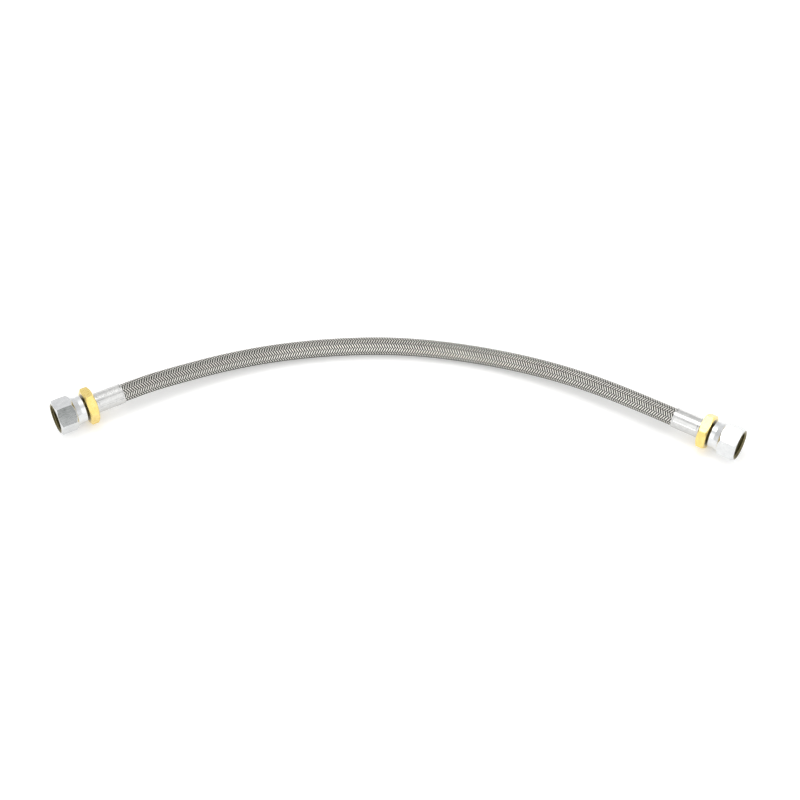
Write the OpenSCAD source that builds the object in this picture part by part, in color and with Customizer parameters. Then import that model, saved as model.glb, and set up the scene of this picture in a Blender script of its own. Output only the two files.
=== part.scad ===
// Braided supply line: a rubber hose in a stainless wire braid, with a crimped swivel nut fitting
// at each end. Millimetres, +Z up, lying on the plane z = 0 with the arc bowed towards +Y.
// Each fitting is drawn in its own frame: z = 0 at the nut's mouth, +z towards the hose.

/* [Hose] */
// Outside diameter over the braid
hose_diameter = 14; // [13.6:0.1:14]
// Wall thickness of the braid
braid_wall = 0.6; // [0.5:0.1:0.7]
// Bore of the rubber liner, across the corners of its polygon
liner_bore = 10.4; // [10.3:0.1:10.6]

/* [Ferrule] */
// Outside diameter of the crimped ferrule
ferrule_diameter = 15.4; // [15.2:0.1:15.8]
// Bore of the ferrule where it grips the braid
ferrule_bore = 13.9; // [13.7:0.1:13.9]
// Length of the ferrule
ferrule_length = 22.6; // [18:0.2:26]
// Distance from the axis to each pressed flat
ferrule_flat_height = 7.3; // [7.25:0.05:7.5]
// Round length left at the hex end of the ferrule
ferrule_round_front = 2.2; // [1.5:0.1:3]
// Round length left at the hose end of the ferrule
ferrule_round_back = 1; // [0.5:0.1:2]
// Thickness of the lip turned in behind the hex
ferrule_lip = 1; // [0.8:0.1:1.4]

/* [Stem] */
// Brass hex, across flats
stem_flats = 25; // [23:0.5:25]
// Thickness of the brass hex
stem_hex_thickness = 7.4; // [5:0.2:8]
// Diameter of the spigot the nut turns on
spigot_diameter = 15; // [14.6:0.1:15]
// Water bore through the stem
water_bore = 7.6; // [6:0.2:8]
// Diameter of the barbed tail between its barbs
tail_diameter = 10; // [9.6:0.1:10]
// Diameter over the barbs
barb_diameter = 10.8; // [10.6:0.1:11]
// Number of barbs along the tail
barb_count = 4; // [3:1:5]

/* [Swivel nut] */
// Nut hex, across flats
nut_flats = 24; // [24:0.5:25]
// Length of the nut's hex
nut_hex_length = 14.5; // [13.5:0.5:16]
// Overall length of the nut
nut_length = 22.5; // [21:0.5:24]
// Diameter of the nut's round collar
nut_collar_diameter = 21; // [20:0.5:22]
// Where the plain thread wall ends, from the mouth
thread_end = 8.5; // [8:0.5:8.5]
// Diameter of the relief behind the thread
relief_diameter = 21.2; // [21.2:0.1:21.6]
// Where the relief ends on the nut's inner shoulder, from the mouth
shoulder_depth = 12.5; // [12.5:0.1:12.8]
// Radial clearance between the spigot and the nut
swivel_clearance = 0.08; // [0.05:0.01:0.1]
// Free gap between the nut and the brass hex
nut_gap = 1.1; // [0.8:0.1:2.4]

/* [Ring and washer] */
// Wire diameter of the retaining ring
ring_wire = 1.4; // [1.2:0.1:1.5]
// Opening left by the split in the retaining ring, in degrees
ring_split = 20; // [10:5:60]
// Outside diameter of the sealing washer
washer_diameter = 18.4; // [17.6:0.1:18.4]
// Hole in the sealing washer
washer_bore = 11; // [10:0.5:12]
// Thickness of the sealing washer
washer_thickness = 2; // [1.5:0.1:2]

/* [Turn of each piece] */
// Left nut, degrees from corner-down
left_nut_turn = 16; // [0:0.5:59.5]
// Left brass hex, degrees from corner-down
left_stem_turn = 13.5; // [0:0.5:29.5]
// Left ferrule, degrees from flat-down
left_ferrule_turn = 55; // [0:1:59]
// Right nut, degrees from corner-down
right_nut_turn = 11; // [0:0.5:59.5]
// Right brass hex, degrees from corner-down
right_stem_turn = 13; // [0:0.5:29.5]
// Right ferrule, degrees from flat-down
right_ferrule_turn = 16; // [0:1:59]

/* [Hidden] */

$fn = 96;
steel = [0.74, 0.75, 0.76];
wire = [0.58, 0.59, 0.60];
plate = [0.82, 0.83, 0.85];
brass = [0.86, 0.70, 0.34];
rubber = [0.10, 0.10, 0.11];

// Lengthening of a cutter past the face it opens
past = 1;

// Stations along a fitting, from the nut's mouth
hex_front = nut_length + nut_gap;
hex_back = hex_front + stem_hex_thickness;
boss_length = 0.4;
ferrule_front = hex_back + boss_length;
hose_cut = ferrule_front + ferrule_lip;
ferrule_back = ferrule_front + ferrule_length;
tail_setback = 1.5;
tail_end = ferrule_back - tail_setback;

// Stem nose, groove and washer stations
washer_gap = 0.1;
washer_seat = thread_end + washer_gap + washer_thickness;
groove_side = 0.05;
ring_gap = 0.1;
ring_back = shoulder_depth - ring_gap;
ring_centre = ring_back - ring_wire / 2;
groove_front = ring_centre - ring_wire / 2 - groove_side;
groove_back = ring_back + groove_side;
nose_edge = 0.3;

// Minor diameter of a G 1/2 internal thread
thread_bore = 18.631;

// Radii
spigot_r = spigot_diameter / 2;
groove_depth = 0.4;
groove_r = spigot_r - groove_depth;
ring_clearance = 0.06;
ring_r = groove_r + ring_clearance + ring_wire / 2;
collar_bore_r = spigot_r + swivel_clearance;
thread_r = thread_bore / 2;
tail_r = tail_diameter / 2;
barb_r = barb_diameter / 2;
boss_r = 7.2;
lip_r = 5.6;
lip_clearance = 0.05;
neck_r = lip_r - lip_clearance;
ferrule_edge = 0.8;

// Barbed tail
barb_start = 2;
barb_slope = 0.8;
tip_length = 1;
tip_chamfer = 0.5;

// Nut edges
mouth_chamfer = 1;
collar_taper_length = 4;
taper_inset = 0.3;
collar_taper_r = nut_flats / 2 - taper_inset;
collar_edge = 0.6;
hex_chamfer_angle = 30;
nut_back_angle = 42;

// Hose section
hose_sides = 12;
hose_r = hose_diameter / 2;
liner_r = hose_r - braid_wall;
liner_bore_r = liner_bore / 2;

// Route of the hose's centre from the left ferrule to the right one. The first two points and
// the last two are level, and the middle of the hose lies on the surface.
route_points = [
    [-208, 0, 14.5], [-187.2, 10.8, 14.5], [-162, 22, 12.5], [-133, 34.2, 10.5],
    [-102, 43.8, 8.8], [-71, 50.3, 7.5], [-41, 53.5, 7], [-11.5, 54.5, 7],
    [18, 52.5, 7], [47, 48, 7], [75.5, 41, 7.8], [103.5, 31.5, 9.5],
    [130.5, 20, 11.4], [156.5, 6.5, 13], [182, -8, 13.8], [208, -23, 13.8]
];
last = len(route_points) - 1;

function unit(v) = v / norm(v);

// The hose runs smoothly past its route points, as a cubic B-spline does
function centre(i) = i == 0 || i == last ? route_points[i]
    : (route_points[i - 1] + 4 * route_points[i] + route_points[i + 1]) / 6;
function heading(i) = unit(route_points[min(last, i + 1)] - route_points[max(0, i - 1)]);

// Axis of each fitting, pointing towards the hose
left_axis = heading(0);
right_axis = -heading(last);
left_mouth = centre(0) - ferrule_back * left_axis;
right_mouth = centre(last) - ferrule_back * right_axis;

// One ring of a tube: its corners lie around a centre, square to the way the tube runs
function tube_ring(c, t, r) =
    let (side = unit([-t.y, t.x, 0]), up = cross(t, side))
    [for (k = [0:hose_sides - 1]) let (a = 360 * k / hose_sides)
        c + r * (cos(a) * side + sin(a) * up)];

// The tube has a ring at each cut end, inside its ferrule, and one at each route point
tube_centres = concat(
    [left_mouth + hose_cut * left_axis],
    [for (i = [0:last]) centre(i)],
    [right_mouth + hose_cut * right_axis]
);
tube_headings = concat([heading(0)], [for (i = [0:last]) heading(i)], [heading(last)]);

// A hollow tube of the given outer and inner corner radii along the whole hose
module hose_tube(outer, inner) {
    n = hose_sides;
    rings = len(tube_centres);
    wall = rings * n;
    points = [
        for (r = [outer, inner])
            for (i = [0:rings - 1])
                for (p = tube_ring(tube_centres[i], tube_headings[i], r)) p
    ];
    faces = concat(
        [for (i = [0:rings - 2]) for (k = [0:n - 1]) let (a = i * n + k, b = i * n + (k + 1) % n)
            each [[a, b, a + n], [b, b + n, a + n]]],
        [for (i = [0:rings - 2]) for (k = [0:n - 1]) let (a = i * n + k, b = i * n + (k + 1) % n)
            each [[wall + b, wall + a, wall + a + n], [wall + b + n, wall + b, wall + a + n]]],
        [for (k = [0:n - 1]) let (a = k, b = (k + 1) % n)
            each [[b, a, wall + a], [b, wall + a, wall + b]]],
        [for (k = [0:n - 1]) let (a = wall - n + k, b = wall - n + (k + 1) % n)
            each [[a, b, wall + a], [b, wall + b, wall + a]]]
    );
    polyhedron(points, faces);
}

// Puts a fitting's piece on the left or right end, turned about its axis
module at_left(turn = 0)
    translate(left_mouth)
        rotate([0, 90, atan2(left_axis.y, left_axis.x)])
            rotate([0, 0, turn])
                children();

module at_right(turn = 0)
    translate(right_mouth)
        rotate([0, 90, atan2(right_axis.y, right_axis.x)])
            rotate([0, 0, turn])
                children();

// A hex bar between two stations, its end faces chamfered at the given angles
module hex_bar(flats, z0, z1, front_angle, back_angle, face_r) {
    corner = flats / sqrt(3);
    reach = corner + past;
    intersection() {
        translate([0, 0, z0])
            cylinder(r = corner, h = z1 - z0, $fn = 6);
        rotate_extrude()
            polygon([
                [0, z0], [face_r, z0],
                [reach, z0 + (reach - face_r) * tan(front_angle)],
                [reach, z1 - (reach - face_r) * tan(back_angle)],
                [face_r, z1], [0, z1]
            ]);
    }
}

module nut() {
    color(plate)
        difference() {
            union() {
                hex_bar(nut_flats, 0, nut_hex_length, hex_chamfer_angle, nut_back_angle,
                    collar_taper_r);
                rotate_extrude()
                    polygon([
                        [0, nut_hex_length - past],
                        [collar_taper_r, nut_hex_length - past],
                        [collar_taper_r, nut_hex_length],
                        [nut_collar_diameter / 2, nut_hex_length + collar_taper_length],
                        [nut_collar_diameter / 2, nut_length - collar_edge],
                        [nut_collar_diameter / 2 - collar_edge, nut_length],
                        [0, nut_length]
                    ]);
            }
            rotate_extrude()
                polygon([
                    [0, -past],
                    [thread_r + mouth_chamfer + past, -past],
                    [thread_r, mouth_chamfer],
                    [thread_r, thread_end],
                    [relief_diameter / 2, thread_end],
                    [relief_diameter / 2, shoulder_depth],
                    [collar_bore_r, shoulder_depth],
                    [collar_bore_r, nut_length + past],
                    [0, nut_length + past]
                ]);
        }
}

// Barbs rise towards the hex so that the hose slides on and doesn't pull off
function barb_points() =
    let (z0 = hose_cut + barb_start, pitch = (tail_end - tip_length - z0) / barb_count)
    [for (i = [0:barb_count - 1]) each [
        [tail_r, z0 + i * pitch],
        [barb_r, z0 + i * pitch],
        [tail_r, z0 + (i + barb_slope) * pitch]
    ]];

module stem() {
    color(brass)
        difference() {
            union() {
                rotate_extrude()
                    polygon(concat(
                        [
                            [0, washer_seat],
                            [spigot_r - nose_edge, washer_seat],
                            [spigot_r, washer_seat + nose_edge],
                            [spigot_r, groove_front],
                            [groove_r, groove_front],
                            [groove_r, groove_back],
                            [spigot_r, groove_back],
                            [spigot_r, hex_front + past],
                            [boss_r, hex_front + past],
                            [boss_r, ferrule_front],
                            [neck_r, ferrule_front],
                            [neck_r, hose_cut],
                            [tail_r, hose_cut]
                        ],
                        barb_points(),
                        [
                            [tail_r, tail_end - tip_length],
                            [tail_r - tip_chamfer, tail_end],
                            [0, tail_end]
                        ]
                    ));
                hex_bar(stem_flats, hex_front, hex_back, hex_chamfer_angle, hex_chamfer_angle,
                    stem_flats / 2);
            }
            translate([0, 0, washer_seat - past])
                cylinder(d = water_bore, h = tail_end - washer_seat + 2 * past);
        }
}

// Crimped sleeve: a round tube with six pressed flats and a lip turned in behind the hex
module ferrule() {
    outer = ferrule_diameter / 2;
    flat_length = ferrule_length - ferrule_round_front - ferrule_round_back;
    color(steel)
        difference() {
            rotate_extrude()
                polygon([
                    [lip_r, ferrule_front],
                    [outer - ferrule_edge, ferrule_front],
                    [outer, ferrule_front + ferrule_edge],
                    [outer, ferrule_back],
                    [ferrule_bore / 2, ferrule_back],
                    [ferrule_bore / 2, hose_cut],
                    [lip_r, hose_cut]
                ]);
            for (k = [0:5])
                rotate([0, 0, 60 * k])
                    translate([ferrule_flat_height, -outer, ferrule_front + ferrule_round_front])
                        cube([past, 2 * outer, flat_length]);
        }
}

// The ring is split, so that it springs into the stem's groove
module retaining_ring()
    color(steel)
        rotate_extrude(angle = 360 - ring_split)
            translate([ring_r, ring_centre])
                circle(d = ring_wire);

module sealing_washer()
    color(rubber)
        translate([0, 0, washer_seat - washer_thickness])
            difference() {
                cylinder(d = washer_diameter, h = washer_thickness);
                translate([0, 0, -past])
                    cylinder(d = washer_bore, h = washer_thickness + 2 * past);
            }

module inner_liner()
    color(rubber) hose_tube(liner_r, liner_bore_r);
module braid_sleeve()
    color(wire) hose_tube(hose_r, liner_r);

module left_stem()
    at_left(left_stem_turn) stem();
module left_ferrule()
    at_left(left_ferrule_turn) ferrule();
module left_retaining_ring()
    at_left() retaining_ring();
module left_sealing_washer()
    at_left() sealing_washer();
module left_swivel_nut()
    at_left(left_nut_turn) nut();

module right_stem()
    at_right(right_stem_turn) stem();
module right_ferrule()
    at_right(right_ferrule_turn) ferrule();
module right_retaining_ring()
    at_right() retaining_ring();
module right_sealing_washer()
    at_right() sealing_washer();
module right_swivel_nut()
    at_right(right_nut_turn) nut();

inner_liner();
braid_sleeve();
left_stem();
left_ferrule();
left_retaining_ring();
left_sealing_washer();
left_swivel_nut();
right_stem();
right_ferrule();
right_retaining_ring();
right_sealing_washer();
right_swivel_nut();
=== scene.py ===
"""Braided supply line: the looks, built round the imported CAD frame. Metres in the row frame.

Fittings are drawn in their own frame, in millimetres: u runs from the nut's mouth towards the
hose, and an angle runs round the axis.
"""

import math

import bpy
import numpy as np
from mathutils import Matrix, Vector


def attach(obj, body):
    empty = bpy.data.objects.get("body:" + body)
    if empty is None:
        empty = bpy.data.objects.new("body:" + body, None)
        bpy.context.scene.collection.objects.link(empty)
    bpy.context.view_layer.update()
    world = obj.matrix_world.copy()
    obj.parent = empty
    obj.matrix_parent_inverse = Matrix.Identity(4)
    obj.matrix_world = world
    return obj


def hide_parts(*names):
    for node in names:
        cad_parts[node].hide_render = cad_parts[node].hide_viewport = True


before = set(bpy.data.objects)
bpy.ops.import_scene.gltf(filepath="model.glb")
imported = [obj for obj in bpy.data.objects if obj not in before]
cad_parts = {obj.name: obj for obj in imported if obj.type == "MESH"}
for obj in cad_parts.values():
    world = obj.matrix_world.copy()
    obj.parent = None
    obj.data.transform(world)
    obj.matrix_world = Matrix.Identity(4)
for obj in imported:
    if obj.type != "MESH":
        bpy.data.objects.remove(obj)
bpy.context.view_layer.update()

MM = 0.001

# The route of the hose's centre, and the sizes of the hose and its fittings in millimetres, as in
# the CAD source. _R marks a radius and _FLATS a width; most others are places along the axis.
ROUTE = MM * np.array([
    (-208, 0, 14.5), (-187.2, 10.8, 14.5), (-162, 22, 12.5), (-133, 34.2, 10.5),
    (-102, 43.8, 8.8), (-71, 50.3, 7.5), (-41, 53.5, 7), (-11.5, 54.5, 7),
    (18, 52.5, 7), (47, 48, 7), (75.5, 41, 7.8), (103.5, 31.5, 9.5),
    (130.5, 20, 11.4), (156.5, 6.5, 13), (182, -8, 13.8), (208, -23, 13.8),
])
HOSE_R, LINER_R, LINER_BORE_R = 7.0, 6.4, 5.2
NUT_FLATS, NUT_FACE_R = 24.0, 11.7
NUT_HEX_END, TAPER_END, NUT_END = 14.5, 18.5, 22.5
COLLAR_R, COLLAR_BORE_R, RELIEF_R, SHOULDER = 10.5, 7.58, 10.6, 12.5
THREAD_R, THREAD_END, THREAD_PITCH, THREAD_DEPTH = 9.3155, 8.5, 1.8143, 1.162
WASHER_FRONT, WASHER_SEAT, WASHER_R, WASHER_BORE_R = 8.6, 10.6, 9.2, 5.5
STEM_FLATS, STEM_FACE_R, HEX_FRONT, HEX_BACK = 25.0, 12.3, 23.6, 31.0
SPIGOT_R, STEM_BORE_R, NECK_R, LIP_SEAT_R = 7.5, 3.8, 7.2, 5.55
GROOVE_FRONT, GROOVE_BACK, GROOVE_R = 10.95, 12.45, 7.1
TAIL_R, BARB_R, TAIL_END = 5.0, 5.4, 52.5
RING_R, RING_U, RING_WIRE_R = 7.86, 11.7, 0.7
FERRULE_FRONT, HOSE_CUT, FERRULE_BACK = 31.4, 32.4, 54.0
FERRULE_R, FERRULE_BORE_R, LIP_R, LAND_R = 7.7, 6.95, 5.6, 7.3

# How far each piece of a fitting is turned about its axis, in degrees
TURNS = {
    "left": {"nut": 16, "stem": 13.5, "ferrule": 55},
    "right": {"nut": 11, "stem": 13, "ferrule": 16},
}


# ---------------------------------------------------------------- camera

CAMERA_LENS, CAMERA_SENSOR = 108, 36  # millimetres
CAMERA_TARGET = (0.0021, 0.0055, 0)
CAMERA_DISTANCE = 1.829
CAMERA_ELEVATION = 50  # degrees


def make_camera():
    """Looks down at the hose from in front, with the photograph's long lens."""
    data = bpy.data.cameras.new("camera")
    data.sensor_width, data.lens = CAMERA_SENSOR, CAMERA_LENS
    data.clip_start, data.clip_end = 0.05, 100
    cam = bpy.data.objects.new("camera", data)
    bpy.context.scene.collection.objects.link(cam)
    elevation = math.radians(CAMERA_ELEVATION)
    back = Vector((0, -math.cos(elevation), math.sin(elevation)))
    cam.location = Vector(CAMERA_TARGET) + CAMERA_DISTANCE * back
    cam.rotation_mode = "QUATERNION"
    cam.rotation_quaternion = (-back).to_track_quat("-Z", "Y")
    bpy.context.scene.camera = cam


make_camera()


# ---------------------------------------------------------------- mesh helpers

def make_object(name, points, faces, body, replaces, smooth=True, face_slots=None):
    """A mesh piece in the row frame, on its CAD body. Points are in metres."""
    mesh = bpy.data.meshes.new(name)
    mesh.from_pydata(np.asarray(points).tolist(), [], faces)
    mesh.update()
    mesh.polygons.foreach_set("use_smooth", [smooth] * len(mesh.polygons))
    if face_slots is not None:
        mesh.polygons.foreach_set("material_index", face_slots)
    obj = bpy.data.objects.new(name, mesh)
    bpy.context.scene.collection.objects.link(obj)
    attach(obj, body)
    if replaces:
        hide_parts(*replaces)
    return obj


def store_local(obj, local):
    """Keeps each point's place in its fitting's own frame, in millimetres, for the materials."""
    attribute = obj.data.attributes.new("local", "FLOAT_VECTOR", "POINT")
    attribute.data.foreach_set("vector", np.asarray(local, np.float32).ravel())


def grid_faces(columns, rows, wrap_columns=True):
    """Quads of a grid of points stored column by column, and each quad's row.

    The rows always close on themselves, and the columns only where wrap_columns says so."""
    faces, row_of = [], []
    for c in range(columns if wrap_columns else columns - 1):
        for r in range(rows):
            d, s = (c + 1) % columns, (r + 1) % rows
            faces.append((c * rows + r, d * rows + r, d * rows + s, c * rows + s))
            row_of.append(r)
    return faces, row_of


# ---------------------------------------------------------------- the hose's centre line

POINTS_A_SPAN = 60


def spline(route):
    """Points of the cubic B-spline that starts and ends on the route's ends."""
    p = np.vstack([2 * route[0] - route[1], route, 2 * route[-1] - route[-2]])
    t = np.linspace(0, 1, POINTS_A_SPAN, endpoint=False)[:, None]
    basis = [(1 - t) ** 3, 3 * t**3 - 6 * t**2 + 4, -3 * t**3 + 3 * t**2 + 3 * t + 1, t**3]
    spans = [sum(b * p[i + k] for k, b in enumerate(basis)) / 6 for i in range(len(route) - 1)]
    return np.vstack([*spans, route[-1:]])


LINE = spline(ROUTE)
ALONG = np.concatenate([[0], np.cumsum(np.linalg.norm(np.diff(LINE, axis=0), axis=1))])
HOSE_LENGTH = ALONG[-1]


def unit(v):
    return v / np.linalg.norm(v, axis=-1, keepdims=True)


START_AXIS = unit(ROUTE[1] - ROUTE[0])
END_AXIS = unit(ROUTE[-1] - ROUTE[-2])
TANGENTS = unit(np.gradient(LINE, ALONG, axis=0))


def hose_frame(s):
    """Centre, side and up directions at distances s along the hose, straight past its ends."""
    inside = np.clip(s, 0, HOSE_LENGTH)
    centre = np.stack([np.interp(inside, ALONG, LINE[:, k]) for k in range(3)], -1)
    centre = centre + np.minimum(s, 0)[..., None] * START_AXIS
    centre = centre + np.maximum(s - HOSE_LENGTH, 0)[..., None] * END_AXIS
    t = unit(np.stack([np.interp(inside, ALONG, TANGENTS[:, k]) for k in range(3)], -1))
    side = unit(np.stack([-t[..., 1], t[..., 0], np.zeros(t.shape[:-1])], -1))
    return centre, side, np.cross(t, side)


def on_hose(s, angle, radius):
    """Points at a distance along the hose, an angle round it and a radius from its centre."""
    centre, side, up = hose_frame(s)
    return centre + radius[..., None] * (
        np.cos(angle)[..., None] * side + np.sin(angle)[..., None] * up
    )


# ---------------------------------------------------------------- braid and liner

CARRIERS = 12  # ribbons of wire each way
LEAD = 23.6 * MM  # length of one turn of a ribbon
WIRES = 5  # wires side by side in a ribbon
RIBBON_WIDTH = 1.34 * MM
RINGS_A_TURN = 36
BRAID_INSIDE = 5 * MM  # how far the modelled wires run on inside each ferrule
BRAID_MEAN_R = 6.62 * MM
BRAID_RISE = 0.17 * MM  # rise and fall of a ribbon's middle as it passes over and under
CROWN = 0.14 * MM  # extra height of a ribbon's middle over its edges
CROWN_LEVEL = 0.4  # the part of the crown that lies below the ribbon's mean height
WIRE_RISE = 0.055 * MM  # height of each wire over the dips beside it
LINER_RINGS, LINER_SIDES = 160, 48


def over_under(x):
    """1 where a ribbon passes over and -1 where it passes under, two and two."""
    return np.clip(math.sqrt(2) * np.cos(np.pi * (x - 0.5) / 2), -1, 1)


def braid_ribbons(hand):
    """The ribbons that turn one way, each a closed ridged strip: points, faces and heights.

    A point's height runs from 0, deep in the braid, to 1, on top of it, and is lowered further by
    painted shade at a ribbon's edges and underneath the hose; the material paints the low points
    dark as shade."""
    slope = math.atan(2 * math.pi * BRAID_MEAN_R / LEAD)
    reach = HOSE_LENGTH + 2 * BRAID_INSIDE
    rings = round(reach / LEAD * RINGS_A_TURN) + 1
    s = np.linspace(-BRAID_INSIDE, HOSE_LENGTH + BRAID_INSIDE, rings)[:, None]
    n = 2 * WIRES + 1
    across = np.linspace(-0.5, 0.5, n)[None, :] * RIBBON_WIDTH
    from_middle = np.abs(np.linspace(-1, 1, n))
    wires = np.where(np.arange(n) % 2 == 1, WIRE_RISE, 0.0)
    section = wires - CROWN * (from_middle**2 - CROWN_LEVEL)
    section[[0, -1]] -= WIRE_RISE
    edge_shade = np.clip(1.3 - 1.6 * from_middle**1.3, 0, 1)  # painted shade: a ribbon's edges darken where they meet the next ribbons
    points, faces, heights_and_shade = [], [], []
    for k in range(CARRIERS):
        middle = math.radians(360 / CARRIERS) * k + hand * 2 * math.pi * s / LEAD
        s_at = s - hand * math.sin(slope) * across
        angle = middle + math.cos(slope) * across / BRAID_MEAN_R
        # how many ribbons of the other lay lie between this point and the first of them
        other = (angle + hand * 2 * math.pi * s_at / LEAD) * CARRIERS / (2 * math.pi)
        over = hand * over_under(k + other)
        radius = BRAID_MEAN_R + BRAID_RISE * over + section[None, :]
        underside_shade = np.interp(np.sin(angle), (-0.6, 0.4), (0.5, 1))  # painted shade underneath the hose
        # painted shade: 0 where a ribbon passes under the other lay, lower still at its edges and
        # underneath the hose
        heights_and_shade.append(((0.5 + 0.5 * over) * edge_shade[None, :] * underside_shade).ravel())
        base = len(points) * rings * n
        points.append(on_hose(s_at, angle, radius).reshape(-1, 3))
        at = base + np.arange(rings * n).reshape(rings, n)
        a, b = at[:-1], at[1:]
        quads = np.stack([np.roll(a, -1, 1), np.roll(b, -1, 1), b, a], -1).reshape(-1, 4)
        faces += quads.tolist()
        faces += [at[0].tolist()[::-1], at[-1].tolist()]
    return np.vstack(points), faces, np.concatenate(heights_and_shade)


def make_liner():
    """The smooth rubber tube inside the braid, as long as the hose was cut."""
    held = (FERRULE_BACK - HOSE_CUT) * MM  # length inside each ferrule
    s = np.linspace(-held, HOSE_LENGTH + held, LINER_RINGS)
    angle = np.linspace(0, 2 * math.pi, LINER_SIDES, endpoint=False)
    grid_s, grid_a = np.meshgrid(s, angle)
    walls = [
        on_hose(grid_s, grid_a, np.full(grid_s.shape, LINER_R * MM)),
        on_hose(grid_s[:, ::-1], grid_a, np.full(grid_s.shape, LINER_BORE_R * MM)),
    ]
    points = np.concatenate(walls, axis=1)
    faces, _ = grid_faces(LINER_SIDES, 2 * LINER_RINGS)
    return make_object(
        "rubber_liner", points.reshape(-1, 3), faces, "hose", ["inner_liner"]
    )


def make_hose():
    """The two lays of the braid and the liner."""
    lays = []
    for hand, name in ((1, "braid_right_lay"), (-1, "braid_left_lay")):
        points, faces, heights_and_shade = braid_ribbons(hand)
        replaced = ["braid_sleeve"] if hand > 0 else ()
        obj = make_object(name, points, faces, "hose", replaced, smooth=False)
        attribute = obj.data.attributes.new("height", "FLOAT", "POINT")
        attribute.data.foreach_set("value", heights_and_shade.astype(np.float32))
        lays.append(obj)
    liner = make_liner()
    return lays, liner


braids, liner = make_hose()


# ---------------------------------------------------------------- fittings

def fitting_frame(side):
    """The mouth's place, in metres, and the axis towards the hose of one fitting."""
    if side == "left":
        axis, end = START_AXIS, ROUTE[0]
    else:
        axis, end = -END_AXIS, ROUTE[-1]
    return end - FERRULE_BACK * MM * axis, axis


def to_row(side, points, turn):
    """Points of a fitting's own frame, in millimetres, in the row frame."""
    mouth, axis = fitting_frame(side)
    a = math.radians(turn)
    x = points[:, 0] * math.cos(a) - points[:, 1] * math.sin(a)
    y = points[:, 0] * math.sin(a) + points[:, 1] * math.cos(a)
    down = np.array([0, 0, -1.0])
    across = np.array([-axis[1], axis[0], 0])
    return mouth + MM * (x[:, None] * down + y[:, None] * across + points[:, 2:3] * axis)


FILLET_STEPS = 4
FILLET_MARGIN = 0.12  # from a fillet to its extra rows, which keep the faces past it flat
ROWS_A_CORNER = FILLET_STEPS + 3  # a fillet's own rows and an extra one on each side


def filleted(corners, radii):
    """A closed outline of (u, r) corners with each corner rounded off."""
    c = np.array(corners, float)
    out = []
    for i in range(len(c)):
        before, after = c[i] - c[i - 1], c[(i + 1) % len(c)] - c[i]
        la, lb = np.linalg.norm(before), np.linalg.norm(after)
        a, b = before / max(la, 1e-9), after / max(lb, 1e-9)
        turn = math.acos(max(-1.0, min(1.0, float(a @ b))))
        room = 0.4 * min(la, lb)
        t = min(radii[i] * math.tan(min(turn, 2.8) / 2), room)
        m = min(FILLET_MARGIN, (min(la, lb) / 2 - t) / 2)
        p, q = c[i] - t * a, c[i] + t * b
        out.append(p - m * a)
        for k in range(FILLET_STEPS + 1):
            w = k / FILLET_STEPS
            out.append((1 - w) ** 2 * p + 2 * w * (1 - w) * c[i] + w**2 * q)
        out.append(q + m * b)
    return np.array(out)


HEX_ROUNDING = 0.45  # radius of a hex bar's long corners


def hex_radius(flats, angle):
    """Distance from the axis to the side of a hex bar with slightly rounded corners."""
    off = abs((angle + 30) % 60 - 30)
    half = flats / 2
    inner = half - HEX_ROUNDING
    turned = math.degrees(math.atan(inner * math.tan(math.radians(30)) / half))
    if off <= turned:
        return half / math.cos(math.radians(off))
    centre = inner / math.cos(math.radians(30))
    d = math.radians(30 - off)
    return centre * math.cos(d) + math.sqrt(HEX_ROUNDING**2 - (centre * math.sin(d)) ** 2)


# Angles in one sixth of a hex, from corner to corner and closer near them
SECTOR = [-30, -29.6, -29.1, -28.6, -28, -26.5, -24, -20, -16, -12, -8, -4,
          0, 4, 8, 12, 16, 20, 24, 26.5, 28, 28.6, 29.1, 29.6]
HEX_ANGLES = [60 * k + 30 + a for k in range(6) for a in SECTOR]


# Material slots of the nut and the stem
FLATS_SLOT, TURNED_SLOT, BORE_SLOT = 0, 1, 2


def lathe(name, side, body, replaces, profile, angles, turn, pick=None):
    """A closed ring-shaped solid whose outline profile(angle) may change round the axis.

    pick(row) gives the material slot of the faces after that row of the outline."""
    local = []
    for angle in angles:
        outline = profile(angle)
        a = math.radians(angle)
        local.append([(r * math.cos(a), r * math.sin(a), u) for u, r in outline])
    faces, row_of = grid_faces(len(angles), len(local[0]))
    local = np.array(local).reshape(-1, 3)
    slots = [pick(row) for row in row_of] if pick else None
    obj = make_object(
        name, to_row(side, local, turn), faces, body, replaces, face_slots=slots
    )
    store_local(obj, local)
    return obj


# The nut: hex, taper and collar outside; plain bore, relief and thread inside
MOUTH_CHAMFER = 1.0
FRONT_BEVEL, BACK_BEVEL = 30, 42  # degrees, at the hex's two ends
COLLAR_CHAMFER = 0.6
THREAD_ROWS = 84
NUT_SIDE_CORNER, NUT_BORE_CORNER = 1, 7  # corners of the outline where the two start


def thread_radius(u, angle):
    """Radius of the thread, cut back by the chamfer in the nut's mouth."""
    phase = 2 * math.pi * (u / THREAD_PITCH - angle / 360)
    cut = THREAD_R + THREAD_DEPTH / 2 * (1 + math.sin(phase))
    return max(cut, THREAD_R + MOUTH_CHAMFER - u)


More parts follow.
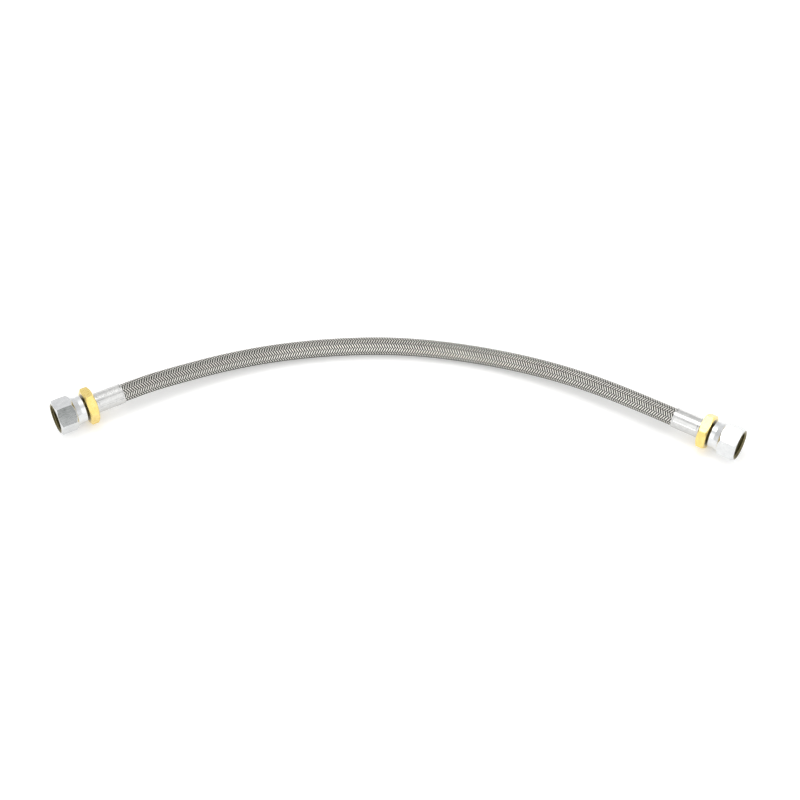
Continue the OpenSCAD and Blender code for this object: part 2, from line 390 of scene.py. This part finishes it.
def nut_profile(angle):
    """Outline from the mouth's rim outwards, back along the outside and out through the bore."""
    side = hex_radius(NUT_FLATS, angle - 30)
    front = (side - NUT_FACE_R) * math.tan(math.radians(FRONT_BEVEL))
    back = NUT_HEX_END - (side - NUT_FACE_R) * math.tan(math.radians(BACK_BEVEL))
    corners = [
        (0, NUT_FACE_R), (front, side), (back, side), (NUT_HEX_END, NUT_FACE_R),
        (TAPER_END, COLLAR_R), (NUT_END - COLLAR_CHAMFER, COLLAR_R),
        (NUT_END, COLLAR_R - COLLAR_CHAMFER), (NUT_END, COLLAR_BORE_R),
        (SHOULDER, COLLAR_BORE_R), (SHOULDER, RELIEF_R), (THREAD_END, RELIEF_R),
    ]
    radii = [0.25, 0.3, 0.5, 0.6, 0.8, 0.25, 0.25, 0.15, 0.1, 0.3, 0.1]
    # the thread takes the place of the last corner, which is only there for its neighbours
    mouth_r = THREAD_R + MOUTH_CHAMFER
    outline = filleted([*corners, (0, mouth_r)], [*radii, 0])[:ROWS_A_CORNER * len(corners)]
    u = np.linspace(THREAD_END - 0.02, 0, THREAD_ROWS)
    thread = np.array([(x, thread_radius(x, angle)) for x in u])
    rim = np.array([(0, mouth_r + 0.08)])
    return np.vstack([outline, thread, rim])


def nut_slot(row):
    first = ROWS_A_CORNER * NUT_SIDE_CORNER
    if row >= ROWS_A_CORNER * NUT_BORE_CORNER:
        return BORE_SLOT
    return FLATS_SLOT if first <= row <= first + ROWS_A_CORNER else TURNED_SLOT


# The stem: spigot with its ring groove, hex, neck, seat for the ferrule's lip, barbed tail
STEM_BEVEL = 30  # degrees, at the hex's two ends
NOSE_CHAMFER, TAIL_TIP = 0.3, 1.0
BARBS = 4
BARB_START = 2.0  # from the cut end of the hose to the first barb
BARB_SHARE = 0.8  # the part of the barbs' pitch that each one's slope takes
STEM_SIDE_CORNER = 9  # corner of the outline where the hex's sides start


def stem_profile(angle):
    """Outline from the bore at the nose outwards, over the hex and along the tail."""
    side = hex_radius(STEM_FLATS, angle - 30)
    cut = (side - STEM_FACE_R) * math.tan(math.radians(STEM_BEVEL))
    pitch = (TAIL_END - TAIL_TIP - HOSE_CUT - BARB_START) / BARBS
    barbs = []
    for i in range(BARBS):
        start = HOSE_CUT + BARB_START + i * pitch
        barbs += [(start, TAIL_R), (start, BARB_R), (start + BARB_SHARE * pitch, TAIL_R)]
    corners = [
        (WASHER_SEAT, STEM_BORE_R), (WASHER_SEAT, SPIGOT_R - NOSE_CHAMFER),
        (WASHER_SEAT + NOSE_CHAMFER, SPIGOT_R), (GROOVE_FRONT, SPIGOT_R),
        (GROOVE_FRONT, GROOVE_R), (GROOVE_BACK, GROOVE_R), (GROOVE_BACK, SPIGOT_R),
        (HEX_FRONT, SPIGOT_R), (HEX_FRONT, STEM_FACE_R), (HEX_FRONT + cut, side),
        (HEX_BACK - cut, side), (HEX_BACK, STEM_FACE_R), (HEX_BACK, NECK_R),
        (FERRULE_FRONT, NECK_R), (FERRULE_FRONT, LIP_SEAT_R), (HOSE_CUT, LIP_SEAT_R),
        (HOSE_CUT, TAIL_R), *barbs, (TAIL_END - TAIL_TIP, TAIL_R),
        (TAIL_END, TAIL_R - TAIL_TIP / 2), (TAIL_END, STEM_BORE_R),
    ]
    radii = [0.2] * 7 + [0.15, 0.15, 0.3, 0.3, 0.15] + [0.1] * (len(corners) - 12)
    return filleted(corners, radii)


def stem_slot(row):
    # the bevel at the front, three rows before the sides, looks like them
    first = ROWS_A_CORNER * STEM_SIDE_CORNER
    return FLATS_SLOT if first - 3 <= row < first + ROWS_A_CORNER else TURNED_SLOT


# The ferrule: pressed lands between six ridges
LAND_EDGE, RIDGE_EDGE = 16.2, 19.2  # degrees from the middle of a land
PRESSED_FROM, PRESSED_TO = FERRULE_FRONT + 1.9, FERRULE_BACK - 0.8
PRESS_SLOPE = 0.6  # length over which the pressing starts and ends
LAND_CROWN = 0.05  # extra height of a land's middle
FERRULE_ANGLES = [60 * k + a for k in range(6) for a in (
    -30, -27, -24, -21.5, -20, -19.2, -18.2, -17.2, -16.2, -15.2, -13, -10, -6.5, -3,
    0, 3, 6.5, 10, 13, 15.2, 16.2, 17.2, 18.2, 19.2, 20, 21.5, 24, 27)]


def smooth_step(x):
    x = min(1.0, max(0.0, x))
    return x * x * (3 - 2 * x)


def ferrule_outer(u, angle):
    """Radius of the ferrule's outside: round at each end, pressed in between."""
    off = abs((angle + 30) % 60 - 30)
    ridge = smooth_step((off - LAND_EDGE) / (RIDGE_EDGE - LAND_EDGE))
    land = LAND_R + LAND_CROWN * math.cos(math.radians(off * 5))
    pressed = land + (FERRULE_R - land) * ridge
    into = min(u - PRESSED_FROM, PRESSED_TO - u) / PRESS_SLOPE
    return FERRULE_R + (pressed - FERRULE_R) * smooth_step(into)


def ferrule_profile(angle):
    """Outline from the back's rim inwards, out at the front and back along the outside."""
    corners = [
        (FERRULE_BACK, FERRULE_R), (FERRULE_BACK, FERRULE_BORE_R), (HOSE_CUT, FERRULE_BORE_R),
        (HOSE_CUT, LIP_R), (FERRULE_FRONT, LIP_R), (FERRULE_FRONT, FERRULE_R),
    ]
    outline = filleted(corners, [0.3, 0.2, 0.4, 0.1, 0.1, 1.1])
    first, last = outline[-1][0] + 0.1, outline[0][0] - 0.1
    # rows of the outside, close together where the pressing starts and ends
    u = np.concatenate([
        np.linspace(first, FERRULE_FRONT + 2.7, 10),
        np.linspace(FERRULE_FRONT + 4, FERRULE_BACK - 3, 10),
        np.linspace(FERRULE_BACK - 1.7, last, 9),
    ])
    wall = np.array([(x, ferrule_outer(x, angle)) for x in u])
    return np.vstack([outline, wall])


WASHER_EDGE = 0.35
ROUND_ANGLES = list(np.linspace(0, 360, 96, endpoint=False))


def washer_profile(angle):
    corners = [(WASHER_FRONT, WASHER_BORE_R), (WASHER_FRONT, WASHER_R),
               (WASHER_SEAT, WASHER_R), (WASHER_SEAT, WASHER_BORE_R)]
    return filleted(corners, [WASHER_EDGE] * len(corners))


RING_SWEEP = 340  # degrees, which leaves the ring's gap
RING_COLUMNS, RING_SIDES = 97, 16
DOME_COLUMNS = 4  # columns in each domed end
RING_TIP_R = 0.25


def make_ring(side):
    """The split wire ring in the stem's groove, with domed ends."""
    last = RING_COLUMNS - 1
    local = []
    for i in range(RING_COLUMNS):
        along = math.radians(RING_SWEEP * i / last)
        dome = min(min(i, last - i) / DOME_COLUMNS, 1)
        wire = max(RING_WIRE_R * math.sqrt(1 - (1 - dome) ** 2), RING_TIP_R)
        for k in range(RING_SIDES):
            a = 2 * math.pi * k / RING_SIDES
            radius = RING_R + wire * math.cos(a)
            local.append((radius * math.cos(along), radius * math.sin(along),
                          RING_U + wire * math.sin(a)))
    local = np.array(local)
    faces, _ = grid_faces(RING_COLUMNS, RING_SIDES, wrap_columns=False)
    faces += [list(range(RING_SIDES)),
              list(range(last * RING_SIDES, RING_COLUMNS * RING_SIDES))[::-1]]
    obj = make_object(
        f"{side}_spring_ring", to_row(side, local, 0), faces, f"{side}_ring",
        [f"{side}_retaining_ring"],
    )
    store_local(obj, local)
    return obj


fittings = {}
for side in ("left", "right"):
    turns = TURNS[side]
    fittings[side] = {
        "nut": lathe(f"{side}_hex_nut", side, f"{side}_nut", [f"{side}_swivel_nut"],
                     nut_profile, HEX_ANGLES, turns["nut"], nut_slot),
        "stem": lathe(f"{side}_brass_stem", side, "hose", [f"{side}_stem"],
                      stem_profile, HEX_ANGLES, turns["stem"], stem_slot),
        "ferrule": lathe(f"{side}_crimped_sleeve", side, "hose", [f"{side}_ferrule"],
                         ferrule_profile, FERRULE_ANGLES, turns["ferrule"]),
        "washer": lathe(f"{side}_flat_washer", side, f"{side}_ring",
                        [f"{side}_sealing_washer"], washer_profile, ROUND_ANGLES, 0),
        "ring": make_ring(side),
    }


# ---------------------------------------------------------------- materials

class Nodes:
    """Short names for building a node tree."""

    def __init__(self, tree):
        self.tree = tree

    def feed(self, socket, value):
        """Links an output to a socket, or sets the socket to a plain value."""
        if isinstance(value, bpy.types.NodeSocket):
            self.tree.links.new(value, socket)
        else:
            socket.default_value = value

    def add(self, kind, **inputs):
        node = self.tree.nodes.new("ShaderNode" + kind)
        for key, value in inputs.items():
            self.feed(node.inputs[key.replace("_", " ")], value)
        return node

    def maths(self, operation, a, b=0.0):
        node = self.add("Math")
        node.operation = operation
        self.feed(node.inputs[0], a)
        self.feed(node.inputs[1], b)
        return node.outputs[0]


class Material(Nodes):
    """A material's node tree, with the patterns that the materials share."""

    def __init__(self, name):
        self.material = bpy.data.materials.new(name)
        self.material.use_nodes = True
        super().__init__(self.material.node_tree)
        self.shader = self.tree.nodes["Principled BSDF"]

    def attribute(self, name, output):
        node = self.add("Attribute")
        node.attribute_name = name
        return node.outputs[output]

    def local(self):
        """A point's place in its fitting's own frame, in millimetres."""
        return self.attribute("local", "Vector")

    def height(self):
        """How high a point of the braid is, lowered by painted shade at the ribbons' edges and
        underneath the hose, from 0 to 1.
        """
        return self.attribute("height", "Fac")

    def here(self):
        """A point's place in the row frame, in metres."""
        return self.add("TexCoord").outputs["Object"]

    def stretched(self, vector, scale, turn=(0, 0, 0), move=(0, 0, 0)):
        return self.add("Mapping", Vector=vector, Scale=scale, Rotation=turn,
                        Location=move).outputs["Vector"]

    def noise(self, vector, scale, detail, roughness=0.5):
        return self.add("TexNoise", Vector=vector, Scale=scale, Detail=detail,
                        Roughness=roughness).outputs["Fac"]

    def ramp(self, value, low, high, out_low=0.0, out_high=1.0):
        return self.add("MapRange", Value=value, From_Min=low, From_Max=high,
                        To_Min=out_low, To_Max=out_high).outputs["Result"]

    def blend(self, factor, a, b):
        node = self.add("Mix")
        node.data_type = "RGBA"
        sockets = [s for s in node.inputs if s.enabled]
        for socket, value in zip(sockets, (factor, a, b)):
            self.feed(socket, value)
        return [s for s in node.outputs if s.enabled][0]

    def set(self, **inputs):
        for key, value in inputs.items():
            self.feed(self.shader.inputs[key.replace("_", " ")], value)

    def bump(self, height, strength, distance):
        node = self.add("Bump", Height=height, Strength=strength, Distance=distance)
        self.feed(self.shader.inputs["Normal"], node.outputs["Normal"])

    def round_axis(self):
        """A point's distance from its fitting's axis and its place along it."""
        x, y, z = self.add("SeparateXYZ", Vector=self.local()).outputs
        squares = self.maths("ADD", self.maths("MULTIPLY", x, x), self.maths("MULTIPLY", y, y))
        return self.maths("SQRT", squares), z

    def turning_marks(self, scale):
        """Fine marks of the lathe: circles on end faces, rings on round sides."""
        radius, z = self.round_axis()
        place = self.add("CombineXYZ", X=radius, Y=z).outputs["Vector"]
        return self.noise(place, scale, detail=2.0)


def rgb(r, g, b):
    return (r, g, b, 1.0)


def painted_dark_face(n, angle, scuff):
    """Mask of a painted dark reflection: 1 on the nut's hex side at that angle, less towards one
    edge and where it is scuffed.
    """
    x, y, _ = n.add("SeparateXYZ", Vector=n.local()).outputs
    towards = math.radians(angle)
    out = n.maths("ADD", n.maths("MULTIPLY", x, math.cos(towards)),
                  n.maths("MULTIPLY", y, math.sin(towards)))
    along = n.maths("SUBTRACT", n.maths("MULTIPLY", y, math.cos(towards)),
                    n.maths("MULTIPLY", x, math.sin(towards)))
    dull = n.maths("MULTIPLY", n.ramp(out, NUT_FLATS / 2 - 0.12, NUT_FLATS / 2 - 0.04),
                   n.ramp(along, -7.0, 7.0, 1.0, 0.75))
    return n.maths("MULTIPLY", dull, n.ramp(scuff, 0.35, 0.6, 1.0, 0.7))


def plated(name, kind, seed, dark_side_angle=None):
    """Bright nickel plating, lightly scuffed: 'flat' on the hex's sides, 'turned' elsewhere.

    The last argument, when given, is the angle, in the nut's own frame, of a hex side with a
    painted dark reflection; that side is also made a little rougher."""
    n = Material(name)
    local = n.stretched(n.local(), (1, 1, 1), move=(seed, 2 * seed, 0))
    cloud = n.noise(local, 0.25, detail=4.0)
    scuff = n.noise(n.stretched(local, (1.2, 1.2, 0.1), turn=(0.25, 0.2, 0)), 2.5, detail=5.0,
                    roughness=0.65)
    scratch = n.noise(n.stretched(local, (3.0, 3.0, 0.12), turn=(0.6, -0.5, 0.3)), 3.0,
                      detail=2.0)
    lines = n.ramp(scratch, 0.64, 0.70)
    specks = n.add("TexVoronoi", Vector=n.stretched(local, (1, 1, 0.8), turn=(0.4, 0.3, 0.2)),
                   Scale=0.33).outputs["Distance"]
    speck = n.maths("MULTIPLY", n.ramp(specks, 0.05, 0.13, 1.0, 0.0),
                    n.ramp(n.noise(local, 0.5, detail=1.0), 0.5, 0.58))
    colour = n.blend(n.ramp(cloud, 0.35, 0.7), rgb(0.65, 0.66, 0.67), rgb(0.73, 0.74, 0.745))
    colour = n.blend(n.maths("MULTIPLY", lines, 0.25), colour, rgb(0.42, 0.42, 0.43))
    colour = n.blend(n.maths("MULTIPLY", speck, 0.7), colour, rgb(0.16, 0.15, 0.14))
    rough = n.ramp(scuff, 0.3, 0.75, 0.14, 0.28)
    if dark_side_angle is not None:
        # painted reflection: the chosen hex side turns dark grey, fading towards one edge, as if
        # it mirrored dark surroundings; only its extra roughness is real
        dull = painted_dark_face(n, dark_side_angle, scuff)
        colour = n.blend(dull, colour, rgb(0.12, 0.13, 0.125))
        rough = n.maths("ADD", rough, n.maths("MULTIPLY", dull, 0.1))
    n.set(Base_Color=colour, Metallic=1.0,
          Roughness=n.maths("ADD", rough, n.maths("MULTIPLY", lines, 0.15)))
    if kind == "turned":
        n.bump(n.turning_marks(9.0), 0.25, 0.02 * MM)
    else:
        n.bump(scuff, 0.3, 0.02 * MM)
    return n.material


def thread_brass(name):
    """Unplated brass inside the thread, dull and a little oily in the grooves."""
    n = Material(name)
    tone = n.noise(n.local(), 0.8, detail=4.0)
    colour = n.blend(n.ramp(tone, 0.3, 0.7), rgb(0.10, 0.088, 0.045), rgb(0.30, 0.26, 0.13))
    n.set(Base_Color=colour, Metallic=1.0, Roughness=n.ramp(tone, 0.3, 0.7, 0.3, 0.45))
    n.bump(n.turning_marks(14.0), 0.3, 0.02 * MM)
    return n.material


def brass(name, kind, seed):
    """Bare brass, dull in patches, with painted shade where the hex's front face meets the spigot.
    """
    n = Material(name)
    local = n.stretched(n.local(), (1, 1, 1), move=(seed, -seed, 0))
    cloud = n.noise(local, 0.3, detail=4.0)
    grain = n.noise(n.stretched(local, (1, 1, 0.08)), 5.0, detail=3.0)
    colour = n.blend(n.ramp(cloud, 0.3, 0.7), rgb(0.80, 0.61, 0.20), rgb(0.88, 0.70, 0.27))
    dull = n.ramp(n.noise(local, 1.4, detail=5.0, roughness=0.7), 0.58, 0.75)
    colour = n.blend(n.maths("MULTIPLY", dull, 0.35), colour, rgb(0.60, 0.42, 0.15))
    radius, z = n.round_axis()
    # painted shade: the spigot and the inner part of the hex's front face turn near black, in the
    # gap between the nut and the hex
    gap_shade = n.maths("MULTIPLY", n.ramp(z, HEX_FRONT + 0.02, HEX_FRONT + 0.15, 1.0, 0.0),
                    n.ramp(radius, 9.9, 11.5, 1.0, 0.0))
    colour = n.blend(n.maths("MULTIPLY", gap_shade, 0.9), colour, rgb(0.05, 0.04, 0.02))
    n.set(Base_Color=colour, Metallic=1.0, Roughness=n.ramp(grain, 0.3, 0.7, 0.2, 0.34))
    if kind == "turned":
        n.bump(n.turning_marks(7.0), 0.35, 0.03 * MM)
    else:
        n.bump(grain, 0.3, 0.02 * MM)
    return n.material


def ferrule_steel(name, seed):
    """Drawn stainless sheet: fine lines along the sleeve and dull patches where it was pressed."""
    n = Material(name)
    local = n.stretched(n.local(), (1, 1, 1), move=(seed, seed, 0))
    drawn = n.noise(n.stretched(local, (1, 1, 0.05)), 6.0, detail=3.0)
    cloud = n.noise(local, 0.35, detail=4.0)
    colour = n.blend(n.ramp(cloud, 0.3, 0.7), rgb(0.53, 0.53, 0.525), rgb(0.62, 0.62, 0.61))
    rough = n.maths("ADD", n.ramp(drawn, 0.3, 0.7, 0.12, 0.24),
                    n.ramp(cloud, 0.4, 0.7, 0, 0.08))
    n.set(Base_Color=colour, Metallic=1.0, Roughness=rough)
    n.bump(drawn, 0.25, 0.02 * MM)
    return n.material


def braid_steel(name):
    """Stainless wire, with painted shade where a ribbon passes under, between the ribbons and
    underneath the hose.
    """
    n = Material(name)
    here = n.here()
    tone = n.noise(here, 420.0, detail=3.0, roughness=0.6)
    patch = n.noise(here, 30.0, detail=2.0)
    top = n.blend(n.ramp(tone, 0.3, 0.7), rgb(0.80, 0.79, 0.745), rgb(0.92, 0.91, 0.855))
    top = n.blend(n.ramp(patch, 0.35, 0.65, 0.0, 0.3), top, rgb(0.58, 0.57, 0.53))
    # painted shade: the braid's low points, by the height attribute, turn near black
    high = n.ramp(n.height(), 0.25, 0.7)
    colour = n.blend(high, rgb(0.045, 0.043, 0.039), top)
    n.set(Base_Color=colour, Metallic=1.0, Roughness=n.ramp(tone, 0.3, 0.7, 0.14, 0.22))
    return n.material


def black_rubber(name, in_fitting):
    """Matt black rubber, of a piece in a fitting's own frame or of one in the row frame."""
    n = Material(name)
    if in_fitting:
        tone = n.noise(n.local(), 1.5, detail=4.0)
    else:
        tone = n.noise(n.here(), 1.5 / MM, detail=4.0)
    colour = n.blend(n.ramp(tone, 0.3, 0.7), rgb(0.012, 0.012, 0.012), rgb(0.028, 0.027, 0.026))
    n.set(Base_Color=colour, Roughness=n.ramp(tone, 0.3, 0.7, 0.55, 0.75))
    n.bump(tone, 0.2, 0.05 * MM)
    return n.material


def spring_steel(name):
    """Plain grey wire."""
    n = Material(name)
    tone = n.noise(n.local(), 1.2, detail=4.0)
    colour = n.blend(n.ramp(tone, 0.3, 0.7), rgb(0.40, 0.40, 0.41), rgb(0.56, 0.56, 0.57))
    n.set(Base_Color=colour, Metallic=1.0, Roughness=n.ramp(tone, 0.3, 0.7, 0.25, 0.4))
    return n.material


def dress(obj, *materials):
    for material in materials:
        obj.data.materials.append(material)


PAINTED_DARK_SIDE = 210  # degrees, in the left nut's own frame: the side that faces the camera, painted with a dark reflection

steel_braid = braid_steel("braid_steel")
for lay in braids:
    dress(lay, steel_braid)
dress(liner, black_rubber("liner_rubber", in_fitting=False))
washer_rubber = black_rubber("washer_rubber", in_fitting=True)
ring_steel = spring_steel("ring_steel")
bore_brass = thread_brass("bore_brass")
for seed, (side, parts) in enumerate(fittings.items(), start=1):
    dark_side_angle = PAINTED_DARK_SIDE if side == "left" else None
    dress(parts["nut"], plated(f"{side}_plating_flats", "flat", 7 * seed, dark_side_angle),
          plated(f"{side}_plating_turned", "turned", 5 * seed), bore_brass)
    dress(parts["stem"], brass(f"{side}_brass_flats", "flat", 11 * seed),
          brass(f"{side}_brass_turned", "turned", 13 * seed))
    dress(parts["ferrule"], ferrule_steel(f"{side}_ferrule_steel", 17 * seed))
    dress(parts["washer"], washer_rubber)
    dress(parts["ring"], ring_steel)


# ---------------------------------------------------------------- floor and light

FLOOR_HALF = 12.0


def make_floor():
    """A white table lit softly from beneath, as in a catalogue photograph."""
    f = FLOOR_HALF
    corners = [(-f, -f, 0), (f, -f, 0), (f, f, 0), (-f, f, 0)]
    mesh = bpy.data.meshes.new("floor")
    mesh.from_pydata(corners, [], [(0, 1, 2, 3)])
    floor = bpy.data.objects.new("floor", mesh)
    bpy.context.scene.collection.objects.link(floor)
    n = Material("floor_white")
    n.set(Base_Color=rgb(0.90, 0.90, 0.895), Roughness=0.9, Specular_IOR_Level=0.1,
          Emission_Color=rgb(1.0, 1.0, 0.99), Emission_Strength=0.26)
    dress(floor, n.material)


ROOF = ((0.0, 0.22, 0.97), 15, 38, 0.5)  # the tent's lit roof
AMBIENT = 1.05
LOBES = (
    ((-0.15, 0.14, 0.98), 8, 16, 3.6),  # a lamp seen through the roof
    ((-0.60, -0.65, 0.47), 10, 38, 0.95),  # tent walls lit from the front left
    ((0.60, -0.65, 0.47), 10, 38, 0.8),  # and from the front right
    ((0.10, -0.70, 0.70), 8, 18, -0.5),  # the dark camera
    ((-0.15, 0.92, 0.37), 12, 40, 0.17),  # the bright back wall
    ((-0.79, 0.51, 0.33), 10, 30, -0.6),  # its unlit corners
    ((0.79, 0.51, 0.33), 10, 30, -0.6),
)


def make_world():
    """The inside of a white photographer's tent, and plain white behind everything."""
    world = bpy.data.worlds.new("studio")
    bpy.context.scene.world = world
    world.use_nodes = True
    world.node_tree.nodes.clear()
    n = Nodes(world.node_tree)
    direction = n.add("TexCoord").outputs["Generated"]

    def lobe(towards, inner, outer, strength):
        """Light from a round patch of sky, full inside one angle and none outside another."""
        dot = n.add("VectorMath")
        dot.operation = "DOT_PRODUCT"
        n.feed(dot.inputs[0], direction)
        n.feed(dot.inputs[1], Vector(towards).normalized())
        fade = n.add("MapRange", Value=dot.outputs["Value"],
                     From_Min=math.cos(math.radians(outer)),
                     From_Max=math.cos(math.radians(inner)))
        fade.interpolation_type = "SMOOTHSTEP"
        return n.maths("MULTIPLY", fade.outputs["Result"], strength)

    total = n.maths("ADD", lobe(*ROOF), AMBIENT)
    for patch in LOBES:
        total = n.maths("ADD", total, lobe(*patch))
    light = n.add("Background", Strength=total)
    white = n.add("Background", Strength=1.0)
    mix = n.add("MixShader")
    n.feed(mix.inputs[0], n.add("LightPath").outputs["Is Camera Ray"])
    n.feed(mix.inputs[1], light.outputs[0])
    n.feed(mix.inputs[2], white.outputs[0])
    n.add("OutputWorld", Surface=mix.outputs[0])


make_floor()
make_world()
bpy.context.scene.view_settings.view_transform = "Standard"
